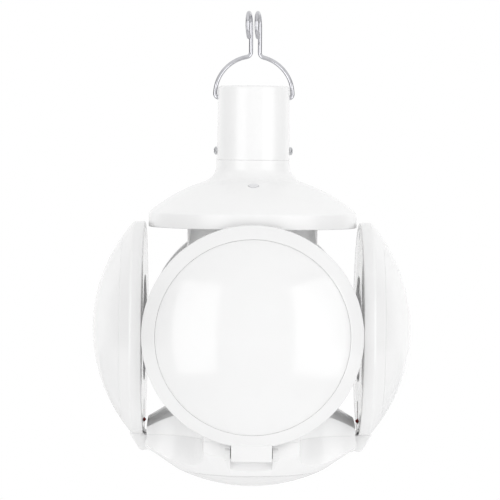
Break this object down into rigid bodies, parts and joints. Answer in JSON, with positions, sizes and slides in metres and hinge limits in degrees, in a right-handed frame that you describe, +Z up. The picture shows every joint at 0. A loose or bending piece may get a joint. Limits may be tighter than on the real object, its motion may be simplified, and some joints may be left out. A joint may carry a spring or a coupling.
{
  "type": "folding ball lamp",
  "caption": "Hook-hung ball lamp: glossy white light petals folded round a battery column, with a domed light in its base, a neck cap and a two-wire hanging hook.",
  "frame": {"origin": "inner top of the two hook rings, where the lamp hangs on a bar or nail", "axes": "+Z up, the front petal faces -Y"},
  "size_m": [0.15, 0.15, 0.2237],
  "materials": {
    "steel_wire": "bright drawn steel wire",
    "steel_screw": "zinc-plated steel",
    "steel_pin": "ground steel",
    "white_shell": "glossy injection-moulded ABS",
    "white_column": "glossy injection-moulded ABS",
    "opal_diffuser": "glossy opal polycarbonate",
    "grey_button": "satin moulded plastic",
    "signal_lens": "clear-frosted light guide",
    "socket_metal": "drawn nickel-plated shell",
    "green_board": "solder-masked glass-fibre board",
    "white_led_board": "white solder mask on an aluminium core",
    "cell_sleeve": "shrink-sleeved cell",
    "black_plastic": "moulded nylon",
    "lead_sleeve": "soft insulated lead"
  },
  "bodies": {
    "hook_right": {"hook_wire_right": "steel_wire"},
    "lamp": {"neck_cap": "white_shell", "neck_screws": "steel_screw", "charge_port": "socket_metal", "control_board": "green_board", "upper_housing": "white_shell", "signal_window": "signal_lens", "dome_screws": "steel_screw", "column_shell": "white_column", "driver_board": "green_board", "battery_cells": "cell_sleeve", "battery_holder": "black_plastic", "column_screws": "steel_screw", "deck_cover": "white_shell", "bottom_housing": "white_shell", "housing_screws": "steel_screw", "bottom_led_board": "white_led_board", "bottom_diffuser": "opal_diffuser", "hinge_pins": "steel_pin", "hinge_washers": "black_plastic", "supply_leads": "lead_sleeve"},
    "hook_left": {"hook_wire_left": "steel_wire"},
    "button": {"power_button": "grey_button"},
    "front_petal": {"front_petal_frame": "white_shell", "front_petal_cover": "white_shell", "front_petal_diffuser": "opal_diffuser", "front_petal_led_board": "white_led_board", "front_petal_screws": "steel_screw", "front_petal_leads": "lead_sleeve"},
    "right_petal": {"right_petal_frame": "white_shell", "right_petal_cover": "white_shell", "right_petal_diffuser": "opal_diffuser", "right_petal_led_board": "white_led_board", "right_petal_screws": "steel_screw", "right_petal_leads": "lead_sleeve"},
    "rear_petal": {"rear_petal_frame": "white_shell", "rear_petal_cover": "white_shell", "rear_petal_diffuser": "opal_diffuser", "rear_petal_led_board": "white_led_board", "rear_petal_screws": "steel_screw", "rear_petal_leads": "lead_sleeve"},
    "left_petal": {"left_petal_frame": "white_shell", "left_petal_cover": "white_shell", "left_petal_diffuser": "opal_diffuser", "left_petal_led_board": "white_led_board", "left_petal_screws": "steel_screw", "left_petal_leads": "lead_sleeve"}
  },
  "joints": [
    {"name": "hook_swing", "type": "hinge", "parent": "hook_right", "child": "lamp", "pos_m": [0, 0, -0.0389], "axis": [1, 0, 0], "range_deg": [-110, 90]},
    {"name": "hook_left_swing", "type": "hinge", "parent": "lamp", "child": "hook_left", "pos_m": [0, 0, -0.0389], "axis": [1, 0, 0], "range_deg": [-90, 110]},
    {"name": "button_press", "type": "slide", "parent": "lamp", "child": "button", "axis": [0, -1, 0], "range_m": [0, 0.0008], "stiffness_N_per_m": 400, "springref_m": -0.001},
    {"name": "front_petal_hinge", "type": "hinge", "parent": "lamp", "child": "front_petal", "pos_m": [0, -0.0463, -0.2012], "axis": [1, 0, 0], "range_deg": [0, 90]},
    {"name": "right_petal_hinge", "type": "hinge", "parent": "lamp", "child": "right_petal", "pos_m": [0.0463, 0, -0.2012], "axis": [0, 1, 0], "range_deg": [0, 90]},
    {"name": "rear_petal_hinge", "type": "hinge", "parent": "lamp", "child": "rear_petal", "pos_m": [0, 0.0463, -0.2012], "axis": [-1, 0, 0], "range_deg": [0, 90]},
    {"name": "left_petal_hinge", "type": "hinge", "parent": "lamp", "child": "left_petal", "pos_m": [-0.0463, 0, -0.2012], "axis": [0, -1, 0], "range_deg": [0, 90]}
  ]
}
